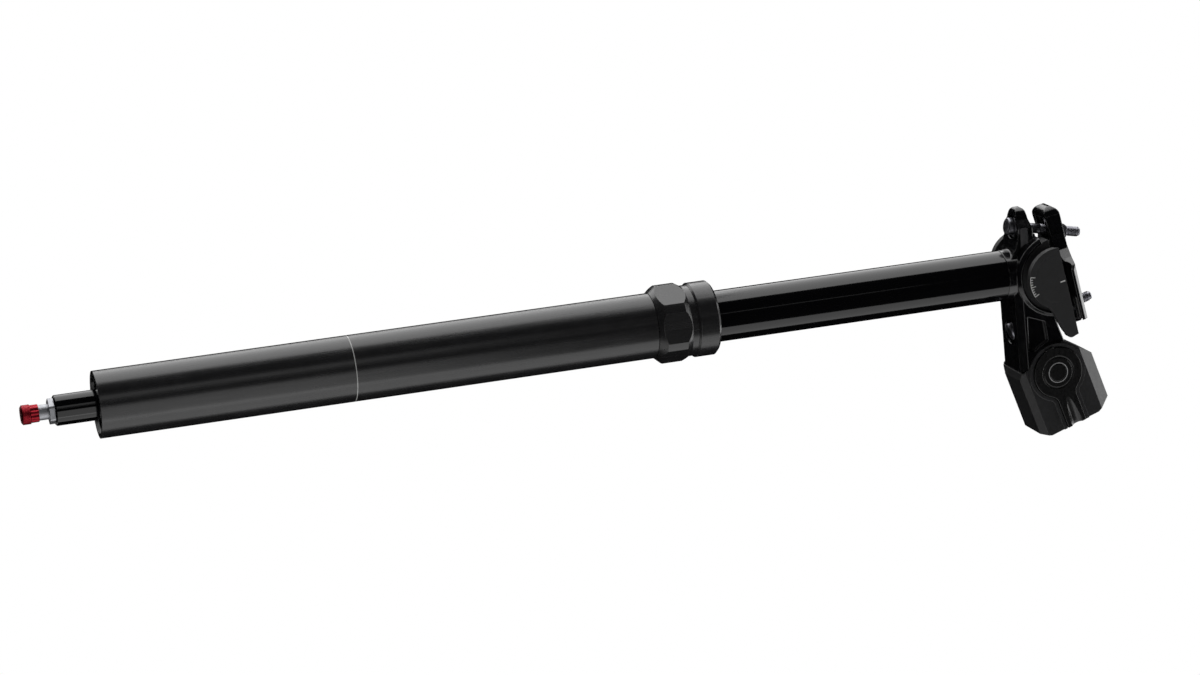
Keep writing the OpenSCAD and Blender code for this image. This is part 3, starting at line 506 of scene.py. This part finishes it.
def knurled_red():
    """Red anodised aluminium with a fine diamond knurl on the thick end of the cap."""
    material = turned_metal("knurled_red_anodised_aluminium", "#861d27", "#9c2731", 0.38)
    tree, shader, place = open_material(material)
    axes = add_node(tree, "ShaderNodeSeparateXYZ", {}, {"Vector": place})
    turn = add_node(
        tree, "ShaderNodeMath", {"operation": "ARCTAN2"}, {0: axes.outputs["Y"], 1: axes.outputs["X"]}
    )
    diamonds_round = add_node(
        tree, "ShaderNodeMath", {"operation": "MULTIPLY", 1: KNURLS}, {0: turn.outputs[0]}
    )
    relief = [inside(tree, [(axes.outputs["Z"], KNURL_MIDDLE, KNURL_HALF_LENGTH)])]
    for way in (1, -1):
        spiral = add_node(
            tree,
            "ShaderNodeMath",
            {"operation": "MULTIPLY_ADD", 1: way * 2 * math.pi / KNURL_PITCH},
            {0: axes.outputs["Z"], 2: diamonds_round.outputs[0]},
        )
        ridges = add_node(tree, "ShaderNodeMath", {"operation": "SINE"}, {0: spiral.outputs[0]})
        relief.append(ridges.outputs[0])
    engrave(tree, shader, join_masks(tree, "MULTIPLY", relief), KNURL_DEPTH)
    return material


def moulded_plastic(name, low, high, roughness):
    """A small moulded plastic part with a fine matt skin."""
    material, tree, shader, place = start_material(name, high, roughness)
    grain_colour(tree, shader, place, 1.5 * MM, low, high)
    grain_roughness(tree, shader, place, 0.8 * MM, roughness - 0.05, roughness + 0.05)
    grain_bump(tree, shader, place, 0.4 * MM, 0.006 * MM)
    return material


def pale_floor():
    """Pale studio paper with a faint mottle."""
    material, tree, shader, place = start_material("pale_studio_paper", "#e9e9e8", 0.8)
    grain_colour(tree, shader, place, 12 * MM, "#e8e8e7", "#ebebea")
    grain_roughness(tree, shader, place, 8 * MM, 0.75, 0.85)
    return material


def black_cloth():
    """Black studio cloth, which gives back next to no light."""
    material, tree, shader, place = start_material("black_studio_cloth", "#050505", 1.0)
    grain_colour(tree, shader, place, 40 * MM, "#040404", "#060606")
    shader.inputs["Specular IOR Level"].default_value = 0.0
    return material


def make_finishes():
    """One material for each finish that the record names."""
    return {
        "anodised_black": satin_black_anodised(),
        "gloss_anodised": gloss_hard_anodised(),
        "gloss_black": polished_black_forging(),
        "dark_clamp": matt_grey_coating(),
        "dark_plastic": moulded_nylon(),
        "cover_rubber": moulded_rubber("moulded_silicone_cover", "#070707", "#0a0a0b", 0.3),
        "seal_rubber": moulded_rubber("nitrile_seal_rubber", "#0d0d0d", "#131313", 0.5),
        "bumper_rubber": moulded_rubber("polyurethane_bumper", "#161616", "#1e1e1e", 0.6),
        "dark_steel": black_oxide_steel(),
        "bare_alloy": turned_metal("turned_aluminium", "#a3a4a8", "#b1b2b6", 0.46),
        "brass": turned_metal("turned_brass", "#b08d4a", "#c9a660", 0.3),
        "anodised_red": turned_metal("red_anodised_aluminium", "#861d27", "#9c2731", 0.38),
        "polished_steel": turned_metal("polished_steel_rod", "#c8c9cb", "#dcdddf", 0.12),
        "bare_steel": turned_metal("bare_machined_steel", "#8f9092", "#a9aaac", 0.34),
        "bush_plastic": moulded_plastic("sintered_polymer_bush", "#7f7657", "#948a69", 0.5),
        "cell_wrap": moulded_plastic("battery_shrink_wrap", "#2a4c75", "#35598a", 0.35),
        "board_green": moulded_plastic("green_solder_mask", "#0f4a28", "#165c34", 0.35),
        "switch_plastic": moulded_plastic("white_switch_plastic", "#a9a9a5", "#bdbdb9", 0.5),
    }


def dress_nodes(finishes):
    """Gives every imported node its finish. The plug's outside is glossier than its slot's finish."""
    for part in frame["record"]["subparts"]:
        finish = finishes[part["material_slot"]]
        if part["node"] == "lower_tube":
            finish = marked_lower_tube()
        if part["node"] == "bottom_plug":
            finish = finishes["gloss_anodised"]
        for slot in frame["nodes"][part["node"]].material_slots:
            slot.material = finish


# New pieces. Their outlines and lengths are in mm, and the flutes' depth is a share of their radius.

RING_STEPS = 120
FLUTES = 10
FLUTE_DEPTH = 0.09
THREAD_STEPS = 36

# Each clamp bolt: the node that it stands for, its body, its nut's middle, its lean in degrees, how far its
# tip lies beyond there, its length, and its thread's length
CLAMP_BOLTS = {
    "threaded_front_bolt": (
        "front_bolt", "front_bolt_body", Vector((19.119, 0.0, 480.609)), -11.73, 12.4, 39.4, 22.0
    ),
    "threaded_rear_bolt": (
        "rear_bolt", "rear_bolt_body", Vector((-19.074, 0.0, 487.727)), 16.5, 10.2, 46.1, 24.0
    ),
}
CLAMP_THREAD_PITCH = 0.8
BOLT_HEAD_RADIUS = 4.24
BOLT_HEAD_HEIGHT = 4.4
SHANK_RADIUS = 2.48
ROOT_RADIUS = 2.04

VALVE_THREAD_PITCH = 0.75
STEM_BORE = 2.3
STEM_RADIUS = 3.58
CAP_RADIUS = 4.58
CAP_BORE = 3.66
CAP_END = -34.76
SKIRT_RADIUS = 4.2
SKIRT_EDGE = -26.62

# The pocket in each side of the front ear: its ends along X, its mouth across Y and its top in Z, and its
# hollow wall, which starts at one slope in degrees and gets steeper by the curve
POCKET_REAR = 12.05
POCKET_FRONT = 24.15
POCKET_MOUTH = 8.48
POCKET_TOP = 461.7
POCKET_SLOPE = 20
POCKET_CURVE = 55
POCKET_STEPS = 10
POCKET_STEP = 0.4

# The housing's middle and tilt, and the ring round the button in its own frame
HOUSING_AT = Vector((-49.4, 0.0, 472.1))
HOUSING_TILT = math.radians(18.5)
LIP_RADIUS = 4.95
LIP_HALF_WIDTH = 0.22
COVER_FACE = 14.95
LIP_ARC_STEPS = 12
LIP_STEPS = 72


def add_piece(name, bm, finish, body, replaced=None):
    """Turns a bmesh in metres into a piece that rides on a body, and stands for a node if one is named."""
    bmesh.ops.remove_doubles(bm, verts=bm.verts, dist=0.002 * MM)
    bmesh.ops.recalc_face_normals(bm, faces=bm.faces)
    mesh = bpy.data.meshes.new(name)
    bm.to_mesh(mesh)
    bm.free()
    mesh.materials.append(finish)
    mesh.shade_smooth()
    mesh.set_sharp_from_angle(angle=math.radians(35))
    piece = bpy.data.objects.new(name, mesh)
    bpy.context.scene.collection.objects.link(piece)
    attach(piece, body)
    if replaced:
        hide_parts(replaced)


def add_ring(bm, radius, height, shape):
    """A ring of edges about Z: round, six-sided with its corners on the radius, or fluted inside it."""
    ring = bmesh.ops.create_circle(bm, cap_ends=False, segments=RING_STEPS, radius=radius)["verts"]
    for vert in ring:
        turn = math.atan2(vert.co.y, vert.co.x)
        if shape == "six_sided":
            vert.co *= math.cos(math.pi / 6) / math.cos(turn % (math.pi / 3) - math.pi / 6)
        if shape == "fluted":
            vert.co *= 1 - FLUTE_DEPTH * (0.5 - 0.5 * math.cos(FLUTES * turn)) ** 2
        vert.co.z = height
    return list({edge for vert in ring for edge in vert.link_edges})


def add_rings(bm, rows, closed=False):
    """A turned body through rows of (radius, height, shape). Unless closed, a face fills each end."""
    rings = [add_ring(bm, radius * MM, height * MM, shape) for radius, height, shape in rows]
    for first, second in zip(rings, rings[1:]):
        bmesh.ops.bridge_loops(bm, edges=first + second)
    if closed:
        bmesh.ops.bridge_loops(bm, edges=rings[-1] + rings[0])
    else:
        for ring in (rings[0], rings[-1]):
            bmesh.ops.contextual_create(bm, geom=ring)


def add_thread(bm, root, crest, pitch, low, high):
    """A right-hand screw thread: one tooth's outline, spun round Z and up by a pitch a turn."""
    outline = [(root, 0.0), (crest, 0.38), (crest, 0.5), (root, 0.88), (root, 1.0)]
    verts = [bm.verts.new(Vector((radius, 0.0, low + part * pitch)) * MM) for radius, part in outline]
    edges = [bm.edges.new(pair) for pair in zip(verts, verts[1:])]
    turns = int((high - low) / pitch) - 1
    bmesh.ops.spin(
        bm,
        geom=verts + edges,
        cent=(0.0, 0.0, 0.0),
        axis=(0.0, 0.0, 1.0),
        dvec=(0.0, 0.0, pitch * MM / THREAD_STEPS),
        angle=2 * math.pi * turns,
        steps=turns * THREAD_STEPS,
        use_merge=False,
        use_duplicate=False,
    )


def add_clamp_bolt(name, node, body, nut_middle, lean, tip, length, thread_length, finish):
    """A socket-head M5 bolt with a rolled thread. Heights run along it from its nut's middle."""
    bm = bmesh.new()
    foot = tip - length
    thread_start = tip - thread_length
    rows = [
        (2.28, foot + 2.6, "six_sided"),
        (2.3, foot + 0.3, "six_sided"),
        (2.75, foot + 0.01, "round"),
        (3.7, foot + 0.01, "round"),
        (BOLT_HEAD_RADIUS, foot + 0.5, "round"),
        (BOLT_HEAD_RADIUS, foot + BOLT_HEAD_HEIGHT - 0.1, "round"),
        (SHANK_RADIUS, foot + BOLT_HEAD_HEIGHT, "round"),
        (SHANK_RADIUS, thread_start, "round"),
        (ROOT_RADIUS, thread_start + 0.6, "round"),
        (ROOT_RADIUS, tip - 0.4, "round"),
        (1.75, tip - 0.01, "round"),
    ]
    add_rings(bm, rows)
    add_thread(bm, ROOT_RADIUS - 0.01, SHANK_RADIUS - 0.01, CLAMP_THREAD_PITCH, thread_start, tip - 0.3)
    place = Matrix.Translation(nut_middle * MM) @ Matrix.Rotation(math.radians(lean), 4, "Y")
    bmesh.ops.transform(bm, matrix=place, verts=bm.verts)
    add_piece(name, bm, finish, body, node)


def add_valve_stem(finish):
    """The valve's hollow stem, smooth by the nut and threaded where the cap screws on."""
    bm = bmesh.new()
    outline = [
        (STEM_BORE, -8),
        (STEM_BORE, -33.4),
        (2.9, -33.4),
        (3.12, -33.1),
        (3.12, -27.4),
        (STEM_RADIUS, -27),
        (STEM_RADIUS, -8),
    ]
    add_rings(bm, [(radius, height, "round") for radius, height in outline], closed=True)
    add_thread(bm, 3.3, STEM_RADIUS, VALVE_THREAD_PITCH, -33.2, -26.9)
    add_piece("threaded_valve_stem", bm, finish, "lower", "valve_stem")


def add_valve_cap(finish):
    """The cap: a finely knurled end, and a skirt with flutes for the fingers."""
    bm = bmesh.new()
    outline = [
        (3.0, CAP_END, "round"),
        (3.7, CAP_END, "round"),
        (CAP_RADIUS, -34.1, "round"),
        (CAP_RADIUS, -30.5, "round"),
        (SKIRT_RADIUS, -30.3, "fluted"),
        (SKIRT_RADIUS, SKIRT_EDGE - 0.13, "fluted"),
        (SKIRT_RADIUS - 0.1, SKIRT_EDGE, "fluted"),
        (CAP_BORE, SKIRT_EDGE, "round"),
        (CAP_BORE, -33.7, "round"),
        (3.0, -33.75, "round"),
    ]
    add_rings(bm, outline)
    add_piece("knurled_valve_cap", bm, finish, "cap", "valve_cap")


def add_ear_pocket_walls(finish):
    """The hollowed wall at the saddle end of the pocket in each side of the front ear."""
    wall = [(POCKET_MOUTH, POCKET_TOP)]
    for step in range(POCKET_STEPS):
        slope = math.radians(POCKET_SLOPE + POCKET_CURVE * (step + 0.5) / POCKET_STEPS)
        last_side, last_height = wall[-1]
        side = last_side - POCKET_STEP * math.cos(slope)
        wall.append((side, last_height - POCKET_STEP * math.sin(slope)))
    wall.append((wall[-1][0], POCKET_TOP))
    for name, way in (("ear_pocket_wall_near", 1), ("ear_pocket_wall_far", -1)):
        bm = bmesh.new()
        verts = [bm.verts.new(Vector((POCKET_REAR, way * side, height)) * MM) for side, height in wall]
        run = bmesh.ops.extrude_face_region(bm, geom=[bm.faces.new(verts)])["geom"]
        moved = [item for item in run if isinstance(item, bmesh.types.BMVert)]
        bmesh.ops.translate(bm, vec=((POCKET_FRONT - POCKET_REAR) * MM, 0.0, 0.0), verts=moved)
        add_piece(name, bm, finish, "upper")


def add_button_lip(finish):
    """A soft raised ring in the cover, round the button."""
    bm = bmesh.new()
    verts = []
    for step in range(LIP_ARC_STEPS + 1):
        turn = math.pi * step / LIP_ARC_STEPS
        radius = LIP_RADIUS + LIP_HALF_WIDTH * math.cos(turn)
        height = COVER_FACE + LIP_HALF_WIDTH * math.sin(turn)
        verts.append(bm.verts.new(Vector((radius, height, 0.0)) * MM))
    edges = [bm.edges.new(pair) for pair in zip(verts, verts[1:])]
    bmesh.ops.spin(
        bm,
        geom=verts + edges,
        cent=(0.0, 0.0, 0.0),
        axis=(0.0, 1.0, 0.0),
        angle=2 * math.pi,
        steps=LIP_STEPS,
        use_merge=True,
        use_duplicate=False,
    )
    place = Matrix.Translation(HOUSING_AT * MM) @ Matrix.Rotation(HOUSING_TILT, 4, "Y")
    bmesh.ops.transform(bm, matrix=place, verts=bm.verts)
    add_piece("button_lip", bm, finish, "cover")


# The scene

scene = bpy.context.scene
scene.view_settings.view_transform = "Standard"
add_camera()
add_world()
add_lights()
add_stage()
finishes = make_finishes()
dress_nodes(finishes)
for name, measures in CLAMP_BOLTS.items():
    add_clamp_bolt(name, *measures, finishes["dark_steel"])
add_valve_stem(finishes["bare_alloy"])
add_valve_cap(knurled_red())
# The pocket walls take a light grey colour that is a painted reflection.
add_ear_pocket_walls(pocket_wall_painted_reflection())
add_button_lip(grey_silicone())
